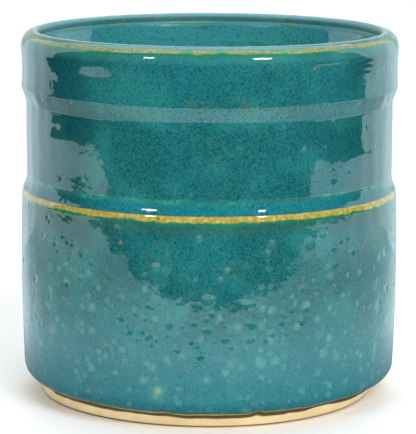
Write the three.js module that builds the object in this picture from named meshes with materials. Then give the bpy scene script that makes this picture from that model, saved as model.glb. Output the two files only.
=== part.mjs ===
// Brush holder pot: a wheel-thrown stoneware cylinder with a straight collar, a pulled-in neck, a
// ridged shoulder and a full belly, glazed inside and out and left bare at the bevelled foot.
// Millimetres, +Z up. The origin is the centre of the foot, on the surface that the pot stands on.

import * as THREE from 'three';

// Foot and floor
const FOOT_RADIUS = 47.8;
const FOOT_RECESS_RADIUS = 39;
const FOOT_RECESS_DEPTH = 1;
const FLOOR_HEIGHT = 7.5;
const FLOOR_CORNER = 8;

// Lower edge of the outer glaze, which rolls under the belly
const GLAZE_EDGE_RADIUS = 51;
const GLAZE_EDGE_HEIGHT = 4.5;
const GLAZE_EDGE_RISE = 1.4;

// Belly, from the top of that roll to the ridge of the shoulder
const BELLY_FOOT_RADIUS = 54.9;
const BELLY_FOOT_HEIGHT = 9;
const BELLY_SWELL = 0.95;
const RIDGE_RADIUS = 55.2;
const RIDGE_HEIGHT = 58.6;

// Ledge above the ridge, and the neck that it steps in to
const LEDGE_RADIUS = 54.5;
const LEDGE_HEIGHT = 61.6;
const NECK_RADIUS = 53.7;
const NECK_HEIGHT = 65;

// Step out to the collar, and the collar's shallow waist
const STEP_HEIGHT = 86.2;
const STEP_EASE = 0.9;
const COLLAR_RADIUS = 55.1;
const COLLAR_HEIGHT = 91;
const COLLAR_WAIST = 0.25;

// Rounded lip
const LIP_HEIGHT = 102;
const CREST_RADIUS = 50.7;
const CREST_HEIGHT = 106.9;
const LIP_FULLNESS = 0.62;
const INNER_EDGE_RADIUS = 49.6;
const INNER_EDGE_HEIGHT = 104.4;

// Inner wall: flared for a finger's width below the mouth, then upright down to the floor
const WALL_RADIUS = 47.2;
const FLARE_HEIGHT = 90;

// Layers
const GLAZE = 0.7;
const LAYER_GAP = 0.1;
const OUTER_SETBACK = GLAZE + LAYER_GAP;

// Fineness of the turned surfaces
const SEGMENTS = 60;
const CURVE_STEPS = 4;

// Outer surface of the outer glaze, from its lower edge up over the lip to the inner edge.
function outerOutline() {
  const bellyMiddle = (BELLY_FOOT_HEIGHT + RIDGE_HEIGHT) / 2;
  const bellyControl = (BELLY_FOOT_RADIUS + RIDGE_RADIUS) / 2 + BELLY_SWELL;
  const collarMiddle = (COLLAR_HEIGHT + LIP_HEIGHT) / 2;
  const lipReach = LIP_FULLNESS * (COLLAR_RADIUS - CREST_RADIUS);
  const lipRise = LIP_FULLNESS * (CREST_HEIGHT - LIP_HEIGHT);
  const path = new THREE.Path();
  path.moveTo(GLAZE_EDGE_RADIUS, GLAZE_EDGE_HEIGHT);
  path.quadraticCurveTo(
    BELLY_FOOT_RADIUS, GLAZE_EDGE_HEIGHT + GLAZE_EDGE_RISE,
    BELLY_FOOT_RADIUS, BELLY_FOOT_HEIGHT,
  );
  path.quadraticCurveTo(bellyControl, bellyMiddle, RIDGE_RADIUS, RIDGE_HEIGHT);
  path.quadraticCurveTo(RIDGE_RADIUS, LEDGE_HEIGHT - 1, LEDGE_RADIUS, LEDGE_HEIGHT);
  path.quadraticCurveTo(NECK_RADIUS, LEDGE_HEIGHT + 1.6, NECK_RADIUS, NECK_HEIGHT);
  path.lineTo(NECK_RADIUS, STEP_HEIGHT);
  path.bezierCurveTo(
    NECK_RADIUS, STEP_HEIGHT + STEP_EASE,
    COLLAR_RADIUS, COLLAR_HEIGHT - STEP_EASE,
    COLLAR_RADIUS, COLLAR_HEIGHT,
  );
  path.quadraticCurveTo(COLLAR_RADIUS - 2 * COLLAR_WAIST, collarMiddle, COLLAR_RADIUS, LIP_HEIGHT);
  path.bezierCurveTo(
    COLLAR_RADIUS, LIP_HEIGHT + lipRise,
    CREST_RADIUS + lipReach, CREST_HEIGHT,
    CREST_RADIUS, CREST_HEIGHT,
  );
  path.quadraticCurveTo(INNER_EDGE_RADIUS, CREST_HEIGHT, INNER_EDGE_RADIUS, INNER_EDGE_HEIGHT);
  return path.getPoints(CURVE_STEPS);
}

// Wetted surface of the inner glaze, from the middle of the floor up to the inner edge.
function innerOutline() {
  const path = new THREE.Path();
  path.moveTo(0, FLOOR_HEIGHT);
  path.lineTo(WALL_RADIUS - FLOOR_CORNER, FLOOR_HEIGHT);
  path.quadraticCurveTo(WALL_RADIUS, FLOOR_HEIGHT, WALL_RADIUS, FLOOR_HEIGHT + FLOOR_CORNER);
  path.lineTo(WALL_RADIUS, FLARE_HEIGHT);
  path.quadraticCurveTo(
    WALL_RADIUS, (FLARE_HEIGHT + INNER_EDGE_HEIGHT) / 2,
    INNER_EDGE_RADIUS, INNER_EDGE_HEIGHT - LAYER_GAP,
  );
  return path.getPoints(CURVE_STEPS);
}

// The left-hand normal of the straight stretch between two points.
function leftNormal(start, end) {
  return new THREE.Vector2(start.y - end.y, end.x - start.x).normalize();
}

// The parallel outline that lies a distance to the left, with its corners mitred.
function setBack(outline, distance) {
  const last = outline.length - 1;
  return outline.map((point, index) => {
    const arriving = leftNormal(outline[Math.max(index - 1, 0)], outline[Math.max(index, 1)]);
    const leaving = leftNormal(outline[Math.min(index, last - 1)], outline[Math.min(index + 1, last)]);
    const mitre = arriving.clone().add(leaving).normalize();
    return point.clone().addScaledVector(mitre, distance / mitre.dot(arriving));
  });
}

// A solid turned about +Z from a section given as radius and height.
function turned(section) {
  const geometry = new THREE.LatheGeometry(section, SEGMENTS);
  geometry.rotateX(Math.PI / 2);
  return geometry;
}

function clayMaterial() {
  return new THREE.MeshStandardMaterial({ color: 0xe3c48e, roughness: 0.85, metalness: 0 });
}

function glazeMaterial() {
  return new THREE.MeshStandardMaterial({ color: 0x2a7f88, roughness: 0.12, metalness: 0 });
}

// Fired stoneware: floor, wall, collar and lip in one thrown piece, standing on a flat foot ring
// around a shallow recess.
function clayBody() {
  const outside = setBack(outerOutline(), OUTER_SETBACK);
  const inside = setBack(innerOutline(), -OUTER_SETBACK);
  inside[0].x = 0;
  const section = [
    new THREE.Vector2(0, FOOT_RECESS_DEPTH),
    new THREE.Vector2(FOOT_RECESS_RADIUS - FOOT_RECESS_DEPTH, FOOT_RECESS_DEPTH),
    new THREE.Vector2(FOOT_RECESS_RADIUS, 0),
    new THREE.Vector2(FOOT_RADIUS, 0),
    ...outside,
    ...inside.reverse(),
  ];
  const mesh = new THREE.Mesh(turned(section), clayMaterial());
  mesh.name = 'clay_body';
  return mesh;
}

// Glaze over the outside: it starts at the rolled lower edge and ends just over the lip.
function outerGlaze() {
  const face = outerOutline();
  const section = [...face, ...setBack(face, GLAZE).reverse(), face[0].clone()];
  const mesh = new THREE.Mesh(turned(section), glazeMaterial());
  mesh.name = 'outer_glaze';
  return mesh;
}

// Glaze poured over the inner wall and the floor.
function innerGlaze() {
  const face = innerOutline();
  const back = setBack(face, -GLAZE);
  const section = [...back, ...face.reverse()];
  const mesh = new THREE.Mesh(turned(section), glazeMaterial());
  mesh.name = 'inner_glaze';
  return mesh;
}

const pot = new THREE.Group();
pot.add(clayBody(), outerGlaze(), innerGlaze());

export default pot;
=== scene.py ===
"""Brush holder pot: one thrown stoneware body under an outer and an inner coat of turquoise glaze.

Every length is in metres in the frame's own axes: +Z up, the centre of the foot at the origin.
Angles round the pot are measured from its front, -Y, and grow towards +X.
"""

import math

import bpy
import numpy as np
from mathutils import Euler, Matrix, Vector


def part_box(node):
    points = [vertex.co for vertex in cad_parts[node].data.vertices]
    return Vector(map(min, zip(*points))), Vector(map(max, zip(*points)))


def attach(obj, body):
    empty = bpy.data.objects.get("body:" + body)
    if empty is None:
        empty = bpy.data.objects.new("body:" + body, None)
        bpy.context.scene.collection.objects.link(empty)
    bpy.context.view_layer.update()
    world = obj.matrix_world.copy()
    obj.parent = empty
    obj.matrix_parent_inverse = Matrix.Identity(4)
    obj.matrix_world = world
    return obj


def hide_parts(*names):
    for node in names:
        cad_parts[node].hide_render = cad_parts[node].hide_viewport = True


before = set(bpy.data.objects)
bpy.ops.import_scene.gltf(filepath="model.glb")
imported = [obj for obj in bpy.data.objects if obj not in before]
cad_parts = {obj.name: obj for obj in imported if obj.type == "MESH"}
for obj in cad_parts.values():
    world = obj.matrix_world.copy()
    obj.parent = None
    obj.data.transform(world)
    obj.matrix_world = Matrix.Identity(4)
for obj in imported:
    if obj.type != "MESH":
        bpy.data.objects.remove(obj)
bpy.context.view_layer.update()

MM = 0.001
GLAZE = 0.7 * MM
CLAY_GAP = 0.1 * MM

# ---------------------------------------------------------------------------------------- camera

CAMERA_DISTANCE = 0.6502
CAMERA_HEIGHT = 0.1698
CAMERA_PITCH = 10.35
CAMERA_ROLL = 0.22
CAMERA_YAW = 0.03
LENS = 185.4


def add_camera():
    camera = bpy.data.objects.new("camera", bpy.data.cameras.new("camera"))
    bpy.context.scene.collection.objects.link(camera)
    camera.location = (0, -CAMERA_DISTANCE, CAMERA_HEIGHT)
    aim = Euler((math.radians(90 - CAMERA_PITCH), 0, math.radians(CAMERA_YAW)))
    roll = Euler((0, 0, math.radians(CAMERA_ROLL)))
    camera.rotation_euler = (aim.to_matrix() @ roll.to_matrix()).to_euler()
    camera.data.lens = LENS
    camera.data.sensor_width = 36
    camera.data.clip_start = 0.01
    camera.data.clip_end = 50
    bpy.context.scene.camera = camera


add_camera()

# ----------------------------------------------------------------------------------------- stage

# The white room round the pot: a table, two walls with a wing each, a back wall and a ceiling
FLOOR_SIDE = 4
DARK_LEVEL, TABLE_LEVEL = 0.0001, 0.0002
TABLE_SIDE, TABLE_FRONT, TABLE_CORNER = 0.45, -0.21, 0.19
WALL_START, WALL_BACK, WALL_TOP = (0.60, 0.19), (0.90, 1.6), 1.3
WING_START, WING_FOOT = -0.05, 0.45
CEILING_SIDE, CEILING_FRONT, CEILING_RISE = 1.2, -0.5, 0.1
WHITE = (0.8, 1.0, 1.07, 1)
TABLE_GLOW, WALL_GLOW, BACK_GLOW, CEILING_GLOW = 1.5, 1.5, 0.85, 2.4

# Shading of the table: by distance round the foot, by distance to the side, and by angle behind
FOOT_SHADE_REACH, FOOT_SHADE = (0.045, 0.13), 0.15
SIDE_FADES, SIDE_RETURNS, SIDE_SHARE = (0.05, 0.24), (0.24, 0.34), 0.6
BEHIND_TURN, BEHIND_SHARE = (0.15, 0.6), 0.5
BELLY_EDGE = 0.052


def plain_material(name, colour, roughness):
    material = bpy.data.materials.new(name)
    material.use_nodes = True
    shader = material.node_tree.nodes["Principled BSDF"]
    shader.inputs["Base Color"].default_value = (*colour, 1)
    shader.inputs["Roughness"].default_value = roughness
    return material


def glowing_material(name, strength):
    material = bpy.data.materials.new(name)
    material.use_nodes = True
    tree = material.node_tree
    tree.nodes.clear()
    glow = tree.nodes.new("ShaderNodeEmission")
    glow.inputs["Color"].default_value = WHITE
    glow.inputs["Strength"].default_value = strength
    output = tree.nodes.new("ShaderNodeOutputMaterial")
    tree.links.new(glow.outputs[0], output.inputs["Surface"])
    return material


def table_material(name, glow, side_share):
    """A white table, shaded round the pot's foot and straight behind the pot. Between its middle
    and its sides it glows only `side_share` as strongly."""
    material = glowing_material(name, glow)
    tree = material.node_tree
    place = tree.nodes.new("ShaderNodeTexCoord").outputs["Object"]
    apart = tree.nodes.new("ShaderNodeSeparateXYZ")
    tree.links.new(place, apart.inputs[0])
    length = tree.nodes.new("ShaderNodeVectorMath")
    length.operation = "LENGTH"
    tree.links.new(place, length.inputs[0])
    side = tree.nodes.new("ShaderNodeMath")
    side.operation = "ABSOLUTE"
    tree.links.new(apart.outputs["X"], side.inputs[0])
    beside = tree.nodes.new("ShaderNodeMath")
    beside.operation = "SUBTRACT"
    tree.links.new(side.outputs[0], beside.inputs[0])
    beside.inputs[1].default_value = BELLY_EDGE
    beside.use_clamp = True
    turn = tree.nodes.new("ShaderNodeMath")
    turn.operation = "ARCTAN2"
    tree.links.new(beside.outputs[0], turn.inputs[0])
    tree.links.new(apart.outputs["Y"], turn.inputs[1])
    strength = None
    for source, values in (
        (length.outputs["Value"], (*FOOT_SHADE_REACH, FOOT_SHADE, 1)),
        (side.outputs[0], (*SIDE_FADES, glow, glow * side_share)),
        (side.outputs[0], (*SIDE_RETURNS, 1, 1 / side_share)),
        (turn.outputs[0], (*BEHIND_TURN, BEHIND_SHARE, 1)),
    ):
        node = tree.nodes.new("ShaderNodeMapRange")
        node.interpolation_type = "SMOOTHSTEP"
        tree.links.new(source, node.inputs["Value"])
        for key, value in zip(("From Min", "From Max", "To Min", "To Max"), values):
            node.inputs[key].default_value = value
        if strength is None:
            strength = node.outputs[0]
            continue
        product = tree.nodes.new("ShaderNodeMath")
        product.operation = "MULTIPLY"
        tree.links.new(strength, product.inputs[0])
        tree.links.new(node.outputs[0], product.inputs[1])
        strength = product.outputs[0]
    tree.links.new(strength, tree.nodes["Emission"].inputs["Strength"])
    return material


def flat_object(name, corners, material):
    mesh = bpy.data.meshes.new(name)
    mesh.from_pydata(corners, [], [tuple(range(len(corners)))])
    mesh.materials.append(material)
    card = bpy.data.objects.new(name, mesh)
    bpy.context.scene.collection.objects.link(card)
    return card


def reflected_card(name, corners, material):
    """A studio card that shows only in the glaze's reflections."""
    card = flat_object(name, corners, material)
    card.visible_camera = False
    card.visible_diffuse = False
    card.visible_transmission = False
    card.visible_shadow = False
    return card


def level_corners(x0, x1, y0, y1, z):
    return [(x0, y0, z), (x1, y0, z), (x1, y1, z), (x0, y1, z)]


def wall_corners(start, end, top):
    (x0, y0), (x1, y1) = start, end
    return [(x0, y0, 0), (x1, y1, 0), (x1, y1, top), (x0, y0, top)]


def add_lamp(name, azimuth, elevation, distance, size, power, aim=(0, 0, 0.07)):
    """A soft rectangular lamp. Azimuth 0 is in front of the pot and 90 is to its right."""
    light = bpy.data.lights.new(name, "AREA")
    light.shape = "RECTANGLE"
    light.size, light.size_y = size
    light.energy = power
    lamp = bpy.data.objects.new(name, light)
    bpy.context.scene.collection.objects.link(lamp)
    a, e = math.radians(azimuth), math.radians(elevation)
    away = Vector((math.sin(a) * math.cos(e), -math.cos(a) * math.cos(e), math.sin(e)))
    lamp.location = Vector(aim) + distance * away
    lamp.rotation_euler = away.to_track_quat("Z", "Y").to_euler()
    lamp.visible_camera = False
    return lamp


def add_stage():
    ground = level_corners(-FLOOR_SIDE, FLOOR_SIDE, -FLOOR_SIDE, FLOOR_SIDE, 0)
    flat_object("floor", ground, plain_material("floor", (0.9, 0.9, 0.9), 0.7))
    dark = level_corners(-FLOOR_SIDE, FLOOR_SIDE, -FLOOR_SIDE, FLOOR_SIDE, DARK_LEVEL)
    reflected_card("dark_room", dark, glowing_material("dark_room", 0))
    table = table_material("white_table", TABLE_GLOW, SIDE_SHARE)
    front = level_corners(-TABLE_SIDE, TABLE_SIDE, TABLE_FRONT, TABLE_CORNER, TABLE_LEVEL)
    reflected_card("table_front", front, table)
    behind = level_corners(-WALL_BACK[0], WALL_BACK[0], TABLE_CORNER, WALL_BACK[1], TABLE_LEVEL)
    white_wall = glowing_material("white_wall", WALL_GLOW)
    reflected_card("table_behind", behind, table_material("far_table", WALL_GLOW, 1))
    for side, name in ((-1, "left_wall"), (1, "right_wall")):
        start = (side * WALL_START[0], WALL_START[1])
        end = (side * WALL_BACK[0], WALL_BACK[1])
        reflected_card(name, wall_corners(start, end, WALL_TOP), white_wall)
        edge, wing = (start[0], start[1]), (start[0], WING_START)
        corners = [(*edge, 0), (*edge, WALL_TOP), (*wing, WALL_TOP), (*wing, WING_FOOT)]
        reflected_card(name + "_wing", corners, white_wall)
    back = wall_corners((-WALL_BACK[0], WALL_BACK[1]), WALL_BACK, WALL_TOP)
    reflected_card("back_wall", back, glowing_material("back_wall", BACK_GLOW))
    ceiling = level_corners(
        -CEILING_SIDE, CEILING_SIDE, CEILING_FRONT, WALL_BACK[1], WALL_TOP + CEILING_RISE
    )
    reflected_card("ceiling", ceiling, glowing_material("ceiling", CEILING_GLOW))
    add_lamp("overhead", 180, 75, 1.3, (1.6, 1.2), 9).visible_glossy = False
    add_lamp("background", 180, 52, 2.4, (2.4, 1.2), 62, (0, 1.5, 0)).visible_glossy = False
    add_lamp("left_lamp", -38, 27, 1.1, (0.13, 0.13), 1.3)
    add_lamp("right_lamp", 33, 27, 1.1, (0.13, 0.13), 1.8)
    for name, azimuth, power in (("left_fill", -45, 2.5), ("right_fill", 30, 11)):
        add_lamp(name, azimuth, 35, 1.2, (0.8, 0.8), power).visible_glossy = False
    world = bpy.data.worlds.new("studio")
    bpy.context.scene.world = world
    world.use_nodes = True
    background = world.node_tree.nodes["Background"]
    background.inputs["Color"].default_value = (1, 1, 1, 1)
    background.inputs["Strength"].default_value = 0.35
    world.cycles_visibility.glossy = False
    bpy.context.scene.view_settings.view_transform = "Standard"


add_stage()

# -------------------------------------------------------------------------------------- outlines

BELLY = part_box("outer_glaze")[1][0]

# The glazed outline, as (radius, height) in millimetres. Each curve is a Bezier curve, and it
# starts where the one before it ends.
OUTER_START = (51.0, 4.5)
OUTER_CURVES = {
    "roll": [(54.9, 5.9), (54.9, 9.0)],
    "belly": [(56.0, 33.8), (55.2, 58.6)],
    "ridge": [(55.2, 60.6), (54.5, 61.6)],
    "ledge": [(53.7, 63.2), (53.7, 65.0)],
    "neck": [(53.7, 86.2)],
    "step": [(53.7, 87.1), (55.1, 90.1), (55.1, 91.0)],
    "collar": [(54.6, 96.5), (55.1, 102.0)],
    "lip": [(55.1, 105.04), (53.43, 106.9), (50.7, 106.9)],
    "mouth": [(50.3, 106.9), (49.78, 105.8)],
    "fold": [(49.7, 105.63), (49.66, 105.4)],
    "edge": [(49.6, 104.4)],
    "tuck": [(49.9, 103.5)],
}
INNER_START = (0.01, 7.5)
INNER_CURVES = {
    "middle": [(0.1, 7.5)],
    "floor": [(39.2, 7.5)],
    "corner": [(47.2, 7.5), (47.2, 15.5)],
    "wall": [(47.2, 90.0)],
    "flare": [(47.9, 97.2), (49.6, 104.4)],
    "tuck": [(49.9, 105.2)],
}

# The clay's underside, from its middle over the recess and the foot ring to the bevel
UNDERSIDE = (
    (0.01, 1.0), (0.1, 1.0), (8, 1.0), (16, 1.0), (24, 1.0), (32, 1.0), (37.6, 1.0), (38.3, 0.7),
    (39, 0.12), (39.6, 0.0), (43, 0.0), (46.9, 0.0), (47.5, 0.08), (47.8, 0.35),
)


def bezier(points, steps):
    """Points along a Bezier curve of any degree, by de Casteljau's construction."""
    t = np.linspace(0, 1, steps + 1)[:, None]
    layers = [np.tile(np.array(p, float), (steps + 1, 1)) for p in points]
    while len(layers) > 1:
        layers = [(1 - t) * a + t * b for a, b in zip(layers, layers[1:])]
    return layers[0]


def outline(start, curves, spacing):
    """The outline in metres, with points about spacing[name] apart along each named curve."""
    points = [np.array([start], float)]
    for name, controls in curves.items():
        fine = bezier([tuple(points[-1][-1]), *controls], 200)
        length = np.concatenate([[0], np.cumsum(np.linalg.norm(np.diff(fine, axis=0), axis=1))])
        count = max(2, round(length[-1] / spacing.get(name, spacing["other"])))
        even = np.linspace(0, length[-1], count + 1)[1:]
        points.append(np.stack([np.interp(even, length, fine[:, k]) for k in (0, 1)], axis=1))
    return np.concatenate(points) * MM


def outward(line):
    """Unit normals to the right of an outline's direction of travel."""
    along = np.gradient(line, axis=0)
    along /= np.linalg.norm(along, axis=1)[:, None]
    return np.stack([along[:, 1], -along[:, 0]], axis=1)


def lengths(line):
    return np.concatenate([[0], np.cumsum(np.linalg.norm(np.diff(line, axis=0), axis=1))])


# ---------------------------------------------------------------------------------------- relief

WAVE_COUNT = 28


def waves(rng, angle, height, size, stretch=1.0):
    """A smooth random field of unit strength with features about `size` high and `stretch` times
    as wide, which joins up round the pot."""
    field = 0
    for _ in range(WAVE_COUNT):
        heading = rng.uniform(0, 2 * math.pi)
        length = size * rng.uniform(0.7, 1.4)
        turns = round(math.cos(heading) * 2 * math.pi * BELLY / (length * stretch))
        rise = 2 * math.pi * math.sin(heading) / length
        field = field + np.cos(turns * angle + rise * height + rng.uniform(0, 2 * math.pi))
    return field * math.sqrt(2 / WAVE_COUNT)


def rolling(rng, angle, height, slope, sizes):
    """Waves of several sizes, each with the same typical slope."""
    return sum(slope * size / (2 * math.pi) * waves(rng, angle, height, size) for size in sizes)


def wrap(angle):
    return (angle + math.pi) % (2 * math.pi) - math.pi


def bell(x):
    return np.exp(-(x**2))


# ---------------------------------------------------------------------------------------- meshes


def grid_mesh(name, rings):
    """A closed mesh through rings[row, column, xyz], with the last row joined to the first."""
    rows, columns = rings.shape[:2]
    i = np.arange(rows)[:, None]
    j = np.arange(columns)[None, :]
    up, across = (i + 1) % rows, (j + 1) % columns
    quads = np.stack(
        [i * columns + j, i * columns + across, up * columns + across, up * columns + j], axis=-1
    ).reshape(-1, 4)
    mesh = bpy.data.meshes.new(name)
    mesh.from_pydata(rings.reshape(-1, 3).tolist(), [], quads.tolist())
    mesh.polygons.foreach_set("use_smooth", [True] * len(mesh.polygons))
    return mesh


def ring_points(radius, height, angle):
    """xyz of every row and column, from radii and heights that may vary along both."""
    shape = np.broadcast_shapes(radius.shape, height.shape, angle.shape)
    radius, height, angle = (np.broadcast_to(a, shape) for a in (radius, height, angle))
    return np.stack([radius * np.sin(angle), -radius * np.cos(angle), height], axis=-1)


def unwrap(mesh, rows, columns, face_rows):
    """Lays the rows that show in two bands, one for each half turn, and the rest in a strip."""
    edge = 0.006
    band = 0.46
    layer = mesh.uv_layers.new(name="OFBake")
    quads = len(mesh.polygons)
    row, column = np.divmod(np.arange(quads), columns)
    half = columns // 2
    shifted = (column + columns // 4) % columns
    side, place = np.divmod(shifted, half)
    shown = row < face_rows
    u0 = np.where(shown, place / half, column / columns)
    u1 = np.where(shown, (place + 1) / half, (column + 1) / columns)
    low = np.where(shown, side * (band + 2 * edge) + edge, 2 * (band + 2 * edge) + edge)
    tall = np.where(shown, band, 1 - 2 * (band + 2 * edge) - 2 * edge)
    step = np.where(shown, face_rows, max(1, rows - face_rows))
    at = np.where(shown, row, row - face_rows)
    v0 = low + tall * at / step
    v1 = low + tall * (at + 1) / step
    u0, u1 = edge + (1 - 2 * edge) * u0, edge + (1 - 2 * edge) * u1
    uv = np.stack([np.stack(p, -1) for p in ((u0, v0), (u1, v0), (u1, v1), (u0, v1))], axis=1)
    layer.data.foreach_set("uv", uv.astype(np.float32).ravel())


def paint(mesh, name, values):
    """Stores one number for each vertex, which a material reads by name."""
    layer = mesh.attributes.new(name, "FLOAT", "POINT")
    layer.data.foreach_set("value", np.asarray(values, np.float32).ravel())


def add_piece(name, mesh, node, material):
    piece = bpy.data.objects.new(name, mesh)
    bpy.context.scene.collection.objects.link(piece)
    mesh.materials.append(material)
    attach(piece, "root")
    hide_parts(node)
    return piece


# ------------------------------------------------------------------------------------- materials


def srgb(red, green, blue):
    """A colour given as 0 to 255 screen values, as the linear values that a shader takes."""
    return tuple(
        c / 12.92 if c <= 0.04045 else ((c + 0.055) / 1.055) ** 2.4
        for c in (red / 255, green / 255, blue / 255)
    )


SPOT_RIM = 0.3


class Look:
    """A material under construction. Its values are numbers, colours or node outputs, and lengths
    in it are millimetres."""

    def __init__(self, name):
        self.material = bpy.data.materials.new(name)
        self.material.use_nodes = True
        self.tree = self.material.node_tree
        self.shader = self.tree.nodes["Principled BSDF"]
        place = self.tree.nodes.new("ShaderNodeTexCoord").outputs["Object"]
        self.point = self.vector("SCALE", place, scale=1 / MM)
        apart = self.node("ShaderNodeSeparateXYZ", {0: self.point})
        self.height = apart.outputs["Z"]
        flat = self.vector("MULTIPLY", self.point, (1, 1, 0))
        self.radius = self.vector("LENGTH", flat)
        front = self.sum("MULTIPLY", apart.outputs["Y"], -1)
        turn = self.sum("ARCTAN2", apart.outputs["X"], front)
        self.degrees = self.sum("MULTIPLY", turn, math.degrees(1))

    def node(self, kind, inputs, **settings):
        node = self.tree.nodes.new(kind)
        for key, value in settings.items():
            setattr(node, key, value)
        for key, value in inputs.items():
            self.feed(node.inputs[key], value)
        return node

    def feed(self, socket, value):
        if isinstance(value, bpy.types.NodeSocket):
            self.tree.links.new(value, socket)
        elif isinstance(value, tuple) and socket.type == "RGBA":
            socket.default_value = (*value[:3], 1)
        else:
            socket.default_value = value

    def vector(self, operation, a, b=None, scale=None):
        inputs = {0: a}
        if b is not None:
            inputs[1] = b
        if scale is not None:
            inputs["Scale"] = scale
        node = self.node("ShaderNodeVectorMath", inputs, operation=operation)
        return node.outputs["Value" if operation == "LENGTH" else "Vector"]

    def sum(self, operation, a, b):
        return self.node("ShaderNodeMath", {0: a, 1: b}, operation=operation).outputs[0]

    def rise(self, value, low, high):
        """0 below low, 1 above high and a smooth step between. low may be above high."""
        inputs = {"Value": value, "From Min": low, "From Max": high}
        node = self.node("ShaderNodeMapRange", inputs, interpolation_type="SMOOTHSTEP")
        return node.outputs["Result"]

    def within(self, value, low, high, soft):
        """1 between low and high, fading over `soft` at each end."""
        above = self.rise(self.sum("SUBTRACT", value, low), -soft, soft)
        below = self.rise(self.sum("SUBTRACT", value, high), soft, -soft)
        return self.sum("MULTIPLY", above, below)

    def noise(self, size, detail=2.0, squash=1.0, seed=0.0, roughness=0.5):
        """Cloudy noise from 0 to 1 with features about `size` across, flattened by `squash`."""
        moved = self.vector("ADD", self.point, (seed * 37.0, seed * 17.0, seed * 53.0))
        shaped = self.vector("MULTIPLY", moved, (1, 1, squash))
        inputs = {"Vector": shaped, "Scale": 1 / size, "Detail": detail, "Roughness": roughness}
        return self.node("ShaderNodeTexNoise", inputs).outputs["Fac"]

    def spots(self, size, radius, share, seed):
        """Round spots with soft rims, one to a cell of about `size`, on a share of the cells."""
        moved = self.vector("ADD", self.point, (seed * 29.0, seed * 41.0, seed * 11.0))
        cells = self.node("ShaderNodeTexVoronoi", {"Vector": moved, "Scale": 1 / size})
        rim = radius * (1 - SPOT_RIM)
        near = self.rise(cells.outputs["Distance"], radius / size, rim / size)
        pick = self.node("ShaderNodeSeparateColor", {0: cells.outputs["Color"]}).outputs[0]
        return self.sum("MULTIPLY", near, self.sum("LESS_THAN", pick, share))

    def discs(self, cell, low, high, seed):
        """Soft, uneven spots of many sizes, from low to high in radius."""
        moved = self.vector("ADD", self.point, (seed * 23.0, seed * 31.0, seed * 7.0))
        cells = self.node("ShaderNodeTexVoronoi", {"Vector": moved, "Scale": 1 / cell})
        dice = self.node("ShaderNodeSeparateColor", {0: cells.outputs["Color"]})
        inputs = {"Value": dice.outputs[0], "To Min": low, "To Max": high}
        reach = self.node("ShaderNodeMapRange", inputs)
        distance = self.sum("MULTIPLY", cells.outputs["Distance"], cell)
        uneven = self.sum("MULTIPLY", self.noise(1.2, detail=2, seed=seed), 0.9)
        part = self.sum("ADD", self.sum("DIVIDE", distance, reach.outputs[0]), uneven)
        return self.sum("MULTIPLY", self.rise(part, 1.75, 1.0), dice.outputs[1])

    def mix(self, share, a, b):
        inputs = {0: share, 6: a, 7: b}
        return self.node("ShaderNodeMix", inputs, data_type="RGBA").outputs[2]

    def painted(self, name):
        node = self.tree.nodes.new("ShaderNodeAttribute")
        node.attribute_name = name
        return node.outputs["Fac"]

    def bump(self, height):
        inputs = {"Height": height, "Distance": 1.0, "Strength": 1.0}
        return self.node("ShaderNodeBump", inputs).outputs["Normal"]


DEEP = srgb(4, 76, 82)
BLUE = srgb(6, 88, 98)
GREY = srgb(24, 100, 102)
POOL = srgb(4, 106, 120)
LINER = srgb(54, 144, 152)
CREST_REFLECTION = srgb(104, 160, 164)
OLIVE = srgb(50, 82, 66)
DARK = srgb(2, 42, 44)
PALE = srgb(62, 132, 126)
BLOOM = srgb(92, 148, 138)
MINT = srgb(48, 158, 128)
GREEN = srgb(26, 116, 66)
AMBER = srgb(156, 142, 66)
HONEY = srgb(182, 172, 98)
BROWN = srgb(138, 124, 58)
RUST = srgb(120, 48, 16)
RIM = srgb(250, 224, 144)
PIN_RUST = srgb(186, 124, 36)


def glaze_colour(look, tint, share):
    """The mottled, grainy turquoise that both coats share, moved towards a tint by `share`."""
    clouds = look.rise(look.noise(13, detail=4, seed=1), 0.42, 0.62)
    colour = look.mix(clouds, DEEP, GREY)
    colour = look.mix(look.rise(look.noise(20, detail=2, seed=2), 0.45, 0.7), colour, BLUE)
    thin = look.rise(look.noise(7, detail=3, seed=3, squash=1.4), 0.6, 0.74)
    colour = look.mix(look.sum("MULTIPLY", thin, 0.5), colour, OLIVE)
    colour = look.mix(share, colour, tint)
    grain = look.rise(look.noise(0.55, detail=2, seed=4, roughness=0.7), 0.3, 0.7)
    colour = look.mix(look.sum("MULTIPLY", grain, 0.4), colour, PALE)
    shade = look.rise(look.noise(0.7, detail=1, seed=5), 0.56, 0.68)
    colour = look.mix(look.sum("MULTIPLY", shade, 0.4), colour, DARK)
    specks = look.spots(2.2, 0.3, 0.4, seed=6)
    return look.mix(look.sum("MULTIPLY", specks, 0.6), colour, DARK)


def amber_colour(look):
    """Streaky amber, duller on the lip than on the ridge."""
    streaks = look.noise(1.1, detail=4, seed=7, roughness=0.65)
    colour = look.mix(look.rise(streaks, 0.25, 0.65), BROWN, AMBER)
    bright = look.sum("MULTIPLY", look.rise(streaks, 0.42, 0.75), look.rise(look.height, 90, 80))
    colour = look.mix(bright, colour, HONEY)
    grain = look.rise(look.noise(0.6, detail=2, seed=26), 0.45, 0.7)
    dull = look.sum("MULTIPLY", look.sum("ADD", grain, 0.4), look.rise(look.height, 80, 90))
    colour = look.mix(look.sum("MULTIPLY", dull, 0.6), colour, OLIVE)
    pins = look.spots(7, 0.4, 0.35, seed=8)
    return look.mix(pins, colour, RUST)


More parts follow.
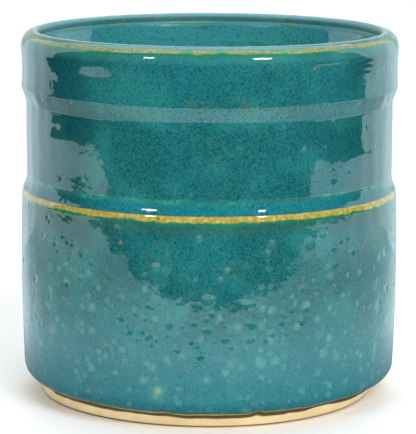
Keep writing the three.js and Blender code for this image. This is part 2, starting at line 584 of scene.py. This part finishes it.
def outer_glaze_material():
    look = Look("turquoise_glaze")
    height = look.height

    # The glaze is bluer where it ran thick, on the ledge and low on the belly
    low = look.rise(height, 40, 12)
    ledge = look.within(height, 61.2, 64, 0.5)
    blue = look.sum("MULTIPLY", look.sum("MAXIMUM", low, ledge), 0.75)
    colour = glaze_colour(look, POOL, blue)
    ragged = look.sum("SUBTRACT", look.noise(2.4, detail=4, seed=9, squash=1.5), 0.5)
    wander = look.sum("SUBTRACT", look.noise(16, detail=2, seed=10), 0.5)

    # Painted shade: the upper part is darker at its sides, most of all to the left
    uneven = look.sum("MULTIPLY", wander, 30)
    turned = look.sum("ADD", look.degrees, uneven)
    side = look.within(turned, -95, -38, 14)
    side = look.sum("ADD", side, look.sum("MULTIPLY", look.within(turned, 40, 95, 12), 0.6))
    side = look.sum("MULTIPLY", side, look.rise(height, 44, 58))
    colour = look.mix(look.sum("MULTIPLY", side, 0.5), colour, DARK)
    under_lip = look.within(look.sum("ADD", height, ragged), 102.5, 105, 0.8)
    colour = look.mix(look.sum("MULTIPLY", under_lip, 0.3), colour, PALE)

    # Shoulder ridge: a whole amber line, clean above and ragged below, with green under it
    ridge = look.sum("ADD", height, look.sum("MULTIPLY", ragged, 1.5))
    ridge = look.sum("ADD", ridge, look.sum("MULTIPLY", wander, 1.0))
    fringe = look.within(ridge, 58.6, 60.5, 0.6)
    lush = look.rise(look.noise(11, detail=2, seed=22), 0.35, 0.6)
    lush = look.sum("ADD", look.sum("MULTIPLY", lush, 0.5), 0.35)
    colour = look.mix(look.sum("MULTIPLY", look.within(ridge, 56, 60, 1.6), 0.35), colour, OLIVE)
    colour = look.mix(look.sum("MULTIPLY", fringe, lush), colour, GREEN)
    above = look.rise(ridge, 59.2, 59.7)
    below = look.rise(look.sum("ADD", height, look.sum("MULTIPLY", ragged, 0.25)), 61.2, 60.9)
    amber = look.sum("MULTIPLY", above, below)

    # Lip: a broken amber line between green edges
    lip = look.sum("ADD", height, look.sum("MULTIPLY", ragged, 0.8))
    lip = look.sum("ADD", lip, look.sum("MULTIPLY", wander, 0.8))
    outside = look.rise(look.radius, 51.0, 51.6)
    green = look.sum("MULTIPLY", look.within(lip, 104.5, 106.25, 0.35), outside)
    speckled = look.rise(look.noise(0.9, detail=3, seed=27), 0.38, 0.58)
    green = look.sum("MULTIPLY", green, look.sum("ADD", look.sum("MULTIPLY", speckled, 0.5), 0.4))
    colour = look.mix(green, colour, GREEN)
    patches = look.rise(look.noise(9, detail=4, seed=11), 0.36, 0.44)
    band = look.sum("MULTIPLY", look.within(lip, 105.05, 106.0, 0.15), patches)
    broken = look.sum("SUBTRACT", 1.0, look.sum("MULTIPLY", speckled, 0.35))
    band = look.sum("MULTIPLY", band, broken)
    amber = look.sum("MAXIMUM", amber, look.sum("MULTIPLY", band, outside))

    # Lower edge: a thin amber margin with dark green just above it
    edge = look.sum("ADD", look.painted("above_edge"), look.sum("MULTIPLY", ragged, 0.3))
    colour = look.mix(look.sum("MULTIPLY", look.rise(edge, 1.3, 0.9), 0.5), colour, DARK)
    colour = look.mix(look.sum("MULTIPLY", look.rise(edge, 0.95, 0.7), 0.8), colour, GREEN)
    amber = look.sum("MAXIMUM", amber, look.rise(edge, 0.78, 0.6))

    # Mint dashes in the corner under the neck
    dashes = look.rise(look.noise(5, detail=2, seed=12, squash=2), 0.5, 0.66)
    dashes = look.sum("MULTIPLY", dashes, look.rise(look.noise(1.1, detail=3, seed=28), 0.35, 0.6))
    corner = look.within(look.sum("ADD", height, ragged), 63.9, 65.3, 0.5)
    colour = look.mix(look.sum("MULTIPLY", corner, 0.25), colour, PALE)
    dashes = look.sum("MULTIPLY", dashes, 0.6)
    colour = look.mix(look.sum("MULTIPLY", corner, dashes), colour, MINT)

    speckle = look.rise(look.noise(0.7, detail=2, seed=20), 0.0, 0.8)
    discs = look.sum("MAXIMUM", look.discs(4.2, 0.5, 1.7, 1), look.discs(3.2, 0.3, 1.1, 2))
    discs = look.sum("MULTIPLY", discs, look.rise(height, 60, 34))
    bloom = look.sum("MAXIMUM", look.painted("bloom"), discs)
    bloom = look.sum("MULTIPLY", bloom, speckle)
    colour = look.mix(look.sum("MULTIPLY", bloom, 0.8), colour, BLOOM)
    colour = look.mix(look.painted("mint"), colour, MINT)
    colour = look.mix(amber, colour, amber_colour(look))
    colour = look.mix(look.painted("pins"), colour, PIN_RUST)
    colour = look.mix(look.sum("MULTIPLY", look.rise(edge, 0.55, 0.3), 0.85), colour, RIM)

    # Crest of the lip: a painted pale reflection of the white room
    crest = look.rise(look.radius, 52.2, 51.2)
    crest = look.sum("MULTIPLY", look.rise(height, 105.4, 106.4), crest)
    colour = look.mix(look.sum("MULTIPLY", crest, 0.6), colour, CREST_REFLECTION)
    look.feed(look.shader.inputs["Base Color"], colour)
    finish_glaze(look)
    return look.material


def finish_glaze(look):
    """Bright gloss, a little duller round the mouth, inside the crest of the lip."""
    mouth = look.rise(look.radius, 50.6, 50.1)
    mouth = look.sum("MULTIPLY", look.rise(look.height, 102.6, 103.8), mouth)
    rough = look.sum("ADD", look.sum("MULTIPLY", mouth, 0.42), 0.04)
    look.feed(look.shader.inputs["Roughness"], rough)
    look.shader.inputs["IOR"].default_value = 1.6
    peel = look.sum("MULTIPLY", look.noise(2.0, detail=1, seed=13), 0.018 * MM)
    look.feed(look.shader.inputs["Normal"], look.bump(peel))


def inner_glaze_material():
    look = Look("liner_glaze")
    colour = glaze_colour(look, LINER, 0.7)
    rings = look.rise(look.noise(9, detail=3, seed=14, squash=8), 0.6, 0.7)
    colour = look.mix(look.sum("MULTIPLY", rings, 0.5), colour, OLIVE)
    dashes = look.rise(look.noise(6, detail=2, seed=15, squash=7), 0.66, 0.72)
    colour = look.mix(look.sum("MULTIPLY", dashes, 0.7), colour, MINT)
    ragged = look.sum("SUBTRACT", look.noise(2.4, detail=4, seed=24, squash=1.5), 0.5)
    edge = look.sum("ADD", look.height, look.sum("MULTIPLY", ragged, 1.2))
    patches = look.rise(look.noise(13, detail=3, seed=25), 0.48, 0.54)
    line = look.sum("MULTIPLY", look.within(edge, 103.2, 104.6, 0.3), patches)
    colour = look.mix(look.sum("MULTIPLY", line, 0.45), colour, GREEN)
    line = look.sum("MULTIPLY", look.within(edge, 104.0, 104.5, 0.1), patches)
    colour = look.mix(look.sum("MULTIPLY", line, 0.4), colour, AMBER)
    look.feed(look.shader.inputs["Base Color"], colour)
    finish_glaze(look)
    return look.material


CLAY = srgb(252, 232, 184)
CLAY_DARK = srgb(224, 190, 132)
CLAY_RUST = srgb(160, 112, 58)
CREASE_SHADE = srgb(74, 66, 24)


def clay_material():
    look = Look("bare_stoneware")
    clouds = look.rise(look.noise(11, detail=4, seed=16), 0.35, 0.7)
    colour = look.mix(look.sum("MULTIPLY", clouds, 0.35), CLAY, CLAY_DARK)
    grit = look.rise(look.noise(0.5, detail=2, seed=17), 0.35, 0.75)
    colour = look.mix(look.sum("MULTIPLY", grit, 0.3), colour, CLAY_DARK)
    iron = look.spots(5, 0.3, 0.35, seed=18)
    colour = look.mix(look.sum("MULTIPLY", iron, 0.8), colour, CLAY_RUST)
    edge = look.within(look.height, -0.1, 0.55, 0.15)
    rim = look.sum("MULTIPLY", edge, look.rise(look.radius, 46.6, 47.4))
    colour = look.mix(rim, colour, CLAY_RUST)
    # Painted shade in the crease under the glaze's rolled edge, brown then dark, thicker at the
    # front
    under = look.painted("under_edge")
    thick = look.rise(look.noise(14, detail=2, seed=23), 0.4, 0.6)
    front = look.within(look.degrees, -18, 14, 8)
    thick = look.sum("ADD", look.sum("MULTIPLY", thick, 0.6), look.sum("MULTIPLY", front, 0.5))
    crease_shade = look.sum("DIVIDE", under, look.sum("ADD", thick, 0.65))
    colour = look.mix(look.sum("MULTIPLY", look.rise(crease_shade, 1.4, 0.9), 0.6), colour, CLAY_RUST)
    colour = look.mix(look.sum("MULTIPLY", look.rise(crease_shade, 1.15, 0.8), 0.95), colour, CREASE_SHADE)
    look.feed(look.shader.inputs["Base Color"], colour)
    look.shader.inputs["Roughness"].default_value = 0.82
    grain = look.sum("MULTIPLY", look.noise(0.6, detail=4, seed=19), 0.05 * MM)
    look.feed(look.shader.inputs["Normal"], look.bump(grain))
    return look.material


# ---------------------------------------------------------------------------------- outer glaze

COLUMNS = 960
ANGLE = np.linspace(-math.pi, math.pi, COLUMNS, endpoint=False)[None, :]
INSET = 0.12 * MM
OUT_OF_ROUND = 0.08 * MM

# Pinholes as (degrees round the pot, height, radius); the first one sits in a burst spot
PINHOLES = ((-14.7, 12.0, 0.5), (-26, 53, 0.35), (1.3, 60.2, 0.35))
BURST_RADIUS, BURST_DEPTH, BURST_ROWS = 2.6 * MM, 0.1 * MM, 40

# A crescent of pits across the front of the belly, lowest in its middle
CRESCENT_PITS = 70
CRESCENT_TURN = math.radians(46)
CRESCENT_LOW, CRESCENT_RISE, CRESCENT_SPREAD = 22 * MM, 26 * MM, 3.5 * MM

# Waves of the glaze's lower edge as (degrees round the pot, width in degrees, lift)
EDGE_SWELLS = (
    (15.7, 1.5, 0.8),
    (-13.5, 2, 0.25),
    (-39, 8, 0.3),
    (44, 7, 0.3),
    (118, 3, 0.5),
    (-150, 8, -0.4),
)
EDGE_HOLD, EDGE_FADE = 4.1 * MM, 2.2 * MM
BEVEL_SLOPE = 0.8
BEVEL_TOP = np.array((50.6, 4.4)) * MM

# The foot bulges to the left, and is drawn in a little everywhere
FOOT_BULGE, FOOT_DRAWN_IN = 2.0 * MM, 0.4 * MM
BULGE_TURN, BULGE_WIDTH, BULGE_TOP = -75, 38, 4.4 * MM


def edge_shift(angle):
    """How far the lower edge of the glaze sits above its mean height, round the pot."""
    rng = np.random.default_rng(21)
    degrees = np.degrees(wrap(angle))
    shift = 0.1 * waves(rng, angle, 0, 30 * MM) + 0.05 * waves(rng, angle, 0, 9 * MM)
    shift -= 0.25 / (1 + np.exp(-(degrees + 8) / 0.8)) / (1 + np.exp((degrees - 11.5) / 0.8))
    for place, width, lift in EDGE_SWELLS:
        shift += lift * bell((degrees - place) / width)
    return shift * MM


def dimple(fields, along, place, radius, depth, bloom, mint):
    """Presses one healed pit into the relief and colours the pooled glaze in it."""
    relief, blooms, mints = fields
    rows = np.flatnonzero(np.abs(along - place[1]) < 2.2 * radius)
    across = wrap(ANGLE[0] - place[0]) * BELLY
    columns = np.flatnonzero(np.abs(across) < 2.2 * radius)
    distance = np.hypot(across[columns][None, :], (along[rows] - place[1])[:, None]) / radius
    patch = np.ix_(rows, columns)
    relief[patch] -= depth * (bell(distance / 0.8) - 0.12 * bell((distance - 1.6) / 0.35))
    blooms[patch] = np.maximum(blooms[patch], bloom * bell((distance / 1.15) ** 2))
    mints[patch] = np.maximum(mints[patch], mint * bell((distance / 0.5) ** 2))


def collar_relief(rng, height):
    """Fine throwing lines on the right of the collar, and a soft swell on its left."""
    degrees = np.degrees(wrap(ANGLE))
    lines = waves(rng, ANGLE, height, 1.3 * MM, stretch=30)
    right = bell((degrees - 56) / 16) * bell((height - 96.5 * MM) / (4.5 * MM))
    swell = 1 / (1 + np.exp(-(height - 98.8 * MM) / (0.6 * MM)))
    left = bell((degrees + 35) / 9) * swell * np.clip((105 * MM - height) / (4 * MM), 0, 1)
    return 0.012 * MM * lines * right + 0.2 * MM * left


def neck_relief(height):
    """Soft swells round the neck, above the corner, on its left and on its right."""
    degrees = np.degrees(wrap(ANGLE))
    left = bell((degrees + 52) / 15) * bell((height - 81 * MM) / (6.5 * MM))
    right = bell((degrees - 52) / 13) * bell((height - 75.5 * MM) / (5 * MM))
    return 0.42 * MM * left + 0.28 * MM * right


def pin_marks(line):
    """Rust-red pinholes, as shares from 0 to 1."""
    marks = np.zeros((len(line), COLUMNS))
    for turn, rise, radius in PINHOLES:
        across = wrap(ANGLE - math.radians(turn)) * BELLY
        distance = np.hypot(across, line[:, 1:] - rise * MM) / (radius * MM)
        marks = np.maximum(marks, bell(distance))
    return marks


def glaze_relief(line, along):
    rng = np.random.default_rng(7)
    height = along[:, None]
    relief = OUT_OF_ROUND * np.cos(2 * ANGLE + 0.6) * np.ones_like(height)
    relief += rolling(rng, ANGLE, height, 0.004, (14 * MM, 6 * MM, 2.6 * MM, 1.5 * MM))
    relief += 0.003 * 5 * MM / (2 * math.pi) * waves(rng, ANGLE, height, 5 * MM, stretch=9)
    relief += 0.016 * 7 * MM / (2 * math.pi) * waves(rng, ANGLE, height, 26 * MM, stretch=0.27)
    relief += collar_relief(rng, line[:, 1:]) + neck_relief(line[:, 1:])
    blooms = np.zeros_like(relief)
    mints = np.zeros_like(relief)
    belly_top = along[np.argmin(np.abs(line[:, 1] - 57 * MM))]
    collar_top = along[np.argmin(np.abs(line[:, 1] - 102 * MM))]
    # Pits as count, lowest, highest, radii, depth to radius, paleness, and how often one is mint
    kinds = (
        (60, 3 * MM, 0.8 * belly_top, (0.7, 1.2), (0.0, 0.02), (0.3, 1.0), 0.8),
        (230, 0.34 * belly_top, belly_top, (0.5, 1.2), (0.1, 0.26), (0.1, 0.5), 0.1),
        (110, belly_top, collar_top, (0.4, 1.0), (0.08, 0.25), (0.0, 0.3), 0.15),
    )
    places = []
    for _ in range(CRESCENT_PITS):
        turn = rng.uniform(-1, 1)
        rise = CRESCENT_LOW + CRESCENT_RISE * turn**2 + CRESCENT_SPREAD * rng.normal()
        places.append((CRESCENT_TURN * turn, rise))
    turn, rise, _ = PINHOLES[0]
    up_belly = np.interp(rise * MM, line[:BURST_ROWS, 1], along[:BURST_ROWS])
    fields = (relief, blooms, mints)
    dimple(fields, along, (math.radians(turn), up_belly), BURST_RADIUS, BURST_DEPTH, 0.4, 1.0)
    for place in places:
        radius = rng.uniform(0.45, 1.05) * MM
        depth = rng.uniform(0.14, 0.28) * radius
        shade = rng.uniform(0.0, 0.3)
        dimple(fields, along, place, radius, depth, shade, 0.0)
    for count, low, high, radii, depths, pale, minty in kinds:
        for _ in range(count):
            place = (rng.uniform(-math.pi, math.pi), rng.uniform(low, high))
            radius = rng.uniform(*radii) * MM
            depth = rng.uniform(*depths) * radius
            bloom = rng.uniform(*pale)
            mint = rng.uniform(0.2, 0.7) if rng.uniform() < minty else 0.0
            dimple(fields, along, place, radius, depth, bloom, mint)
    return fields


def half_turn(start, end, steps, side):
    """A round edge: points strictly between start and end on a half circle, which lies to the
    right of the way from start to end (side 1) or to the left of it (side -1)."""
    centre, arm = (start + end) / 2, (start - end) / 2
    out = []
    for k in range(1, steps):
        a = side * math.pi * k / steps
        turned_x = arm[0] * math.cos(a) - arm[1] * math.sin(a)
        turned_y = arm[0] * math.sin(a) + arm[1] * math.cos(a)
        out.append(centre + [turned_x, turned_y])
    return np.array(out)


def add_outer_glaze():
    spacing = {"other": 0.4, "belly": 0.4, "neck": 0.6, "collar": 0.45}
    line = outline(OUTER_START, OUTER_CURVES, spacing)
    normal = outward(line)
    along = lengths(line)
    relief, blooms, mints = glaze_relief(line, along)
    relief = (relief - INSET) * np.clip((along[-1] - along[:, None] - MM) / (3 * MM), 0, 1)
    radius = line[:, :1] + normal[:, :1] * relief
    height = line[:, 1:] + normal[:, 1:] * relief
    back = (line - normal * GLAZE)[::-1]
    back = back[np.linspace(0, len(back) - 1, 40).round().astype(int)]
    top = half_turn(line[-1], back[0], 5, 1)
    foot = half_turn(back[-1], line[0] - normal[0] * INSET, 6, 1)
    hidden = np.concatenate([top, back, foot])
    flat = np.ones_like(ANGLE)
    radius = np.concatenate([radius, hidden[:, :1] * flat])
    height = np.concatenate([height, hidden[:, 1:] * flat])
    shift = edge_shift(ANGLE)
    above_edge = (height - OUTER_START[1] * MM) / MM
    share = bell(np.clip(height - EDGE_HOLD, 0, None) / EDGE_FADE)
    radius = radius + BEVEL_SLOPE * shift * share
    height = height + shift * share
    mesh = grid_mesh("outer_glaze_coat", ring_points(radius, height, ANGLE))
    blank = np.zeros((len(hidden), COLUMNS))
    paint(mesh, "bloom", np.concatenate([blooms, blank]))
    paint(mesh, "mint", np.concatenate([mints, blank]))
    paint(mesh, "pins", np.concatenate([pin_marks(line), blank]))
    paint(mesh, "above_edge", above_edge)
    unwrap(mesh, len(radius), COLUMNS, len(line) - 1)
    add_piece("outer_glaze_coat", mesh, "outer_glaze", outer_glaze_material())


add_outer_glaze()


# ---------------------------------------------------------------------------------- inner glaze


def add_inner_glaze():
    columns = 480
    angle = np.linspace(-math.pi, math.pi, columns, endpoint=False)[None, :]
    line = outline(INNER_START, INNER_CURVES, {"other": 0.9, "floor": 1.6})
    normal = -outward(line)
    along = lengths(line)[:, None]
    rng = np.random.default_rng(11)
    relief = 0.006 * 7 * MM / (2 * math.pi) * waves(rng, angle, along, 7 * MM, stretch=14)
    relief = relief + rolling(rng, angle, along, 0.004, (12 * MM, 5 * MM))
    relief = relief * np.clip((line[:, :1] - 12 * MM) / (24 * MM), 0, 1)
    relief = relief * np.clip((along[-1] - along - 1 * MM) / (5 * MM), 0, 1)
    radius = line[:, :1] + normal[:, :1] * relief
    height = line[:, 1:] + normal[:, 1:] * relief
    back = (line - normal * GLAZE)[::-1]
    back = back[np.linspace(0, len(back) - 1, 30).round().astype(int)]
    edge = half_turn(line[-1], back[0], 5, -1)
    hidden = np.concatenate([edge, back])
    flat = np.ones_like(angle)
    radius = np.concatenate([radius, hidden[:, :1] * flat])
    height = np.concatenate([height, hidden[:, 1:] * flat])
    mesh = grid_mesh("inner_glaze_coat", ring_points(radius, height, angle))
    unwrap(mesh, len(radius), columns, len(line) - 1)
    mesh.flip_normals()
    add_piece("inner_glaze_coat", mesh, "inner_glaze", inner_glaze_material())


add_inner_glaze()


# ------------------------------------------------------------------------------------ clay body


def add_clay_body():
    columns = 480
    angle = np.linspace(-math.pi, math.pi, columns, endpoint=False)[None, :]
    outer = outline(OUTER_START, OUTER_CURVES, {"other": 2.0, "belly": 4, "neck": 4, "roll": 0.5})
    outer = outer - outward(outer) * (GLAZE + CLAY_GAP)
    inner = outline(INNER_START, INNER_CURVES, {"other": 4, "floor": 8})
    inner = (inner + outward(inner) * (GLAZE + CLAY_GAP))[::-1]
    under = np.array(UNDERSIDE) * MM
    steps = np.linspace(0, 1, 14)[1:, None]
    bevel = under[-1] * (1 - steps) + BEVEL_TOP * steps
    line = np.concatenate([under, bevel, outer[1:], inner])
    rng = np.random.default_rng(31)
    radius = line[:, :1] * np.ones_like(angle)
    height = line[:, 1:] * np.ones_like(angle)
    turned = 0.02 * MM * waves(rng, angle, height, 1.1 * MM, stretch=40)
    on_bevel = bell((height - 2.7 * MM) / (2 * MM)) * (line[:, :1] > 47 * MM)
    radius = radius + turned * on_bevel
    shift = edge_shift(angle) * np.clip((height - MM) / (4 * MM), 0, 1)
    shift = shift * bell(np.clip(height - 5 * MM, 0, None) / (2.5 * MM)) * (line[:, :1] > 47.5 * MM)
    radius = radius + BEVEL_SLOPE * shift
    height = height + shift
    under_edge = (OUTER_START[1] * MM + edge_shift(angle) - height) / MM
    bulge = FOOT_BULGE * bell((np.degrees(wrap(angle)) - BULGE_TURN) / BULGE_WIDTH) - FOOT_DRAWN_IN
    radius = radius + bulge * np.clip(1 - height / BULGE_TOP, 0, 1) * (line[:, :1] > 40 * MM)
    mesh = grid_mesh("stoneware_body", ring_points(radius, height, angle))
    paint(mesh, "under_edge", under_edge)
    unwrap(mesh, len(radius), columns, len(under) + len(bevel))
    add_piece("stoneware_body", mesh, "clay_body", clay_material())


add_clay_body()
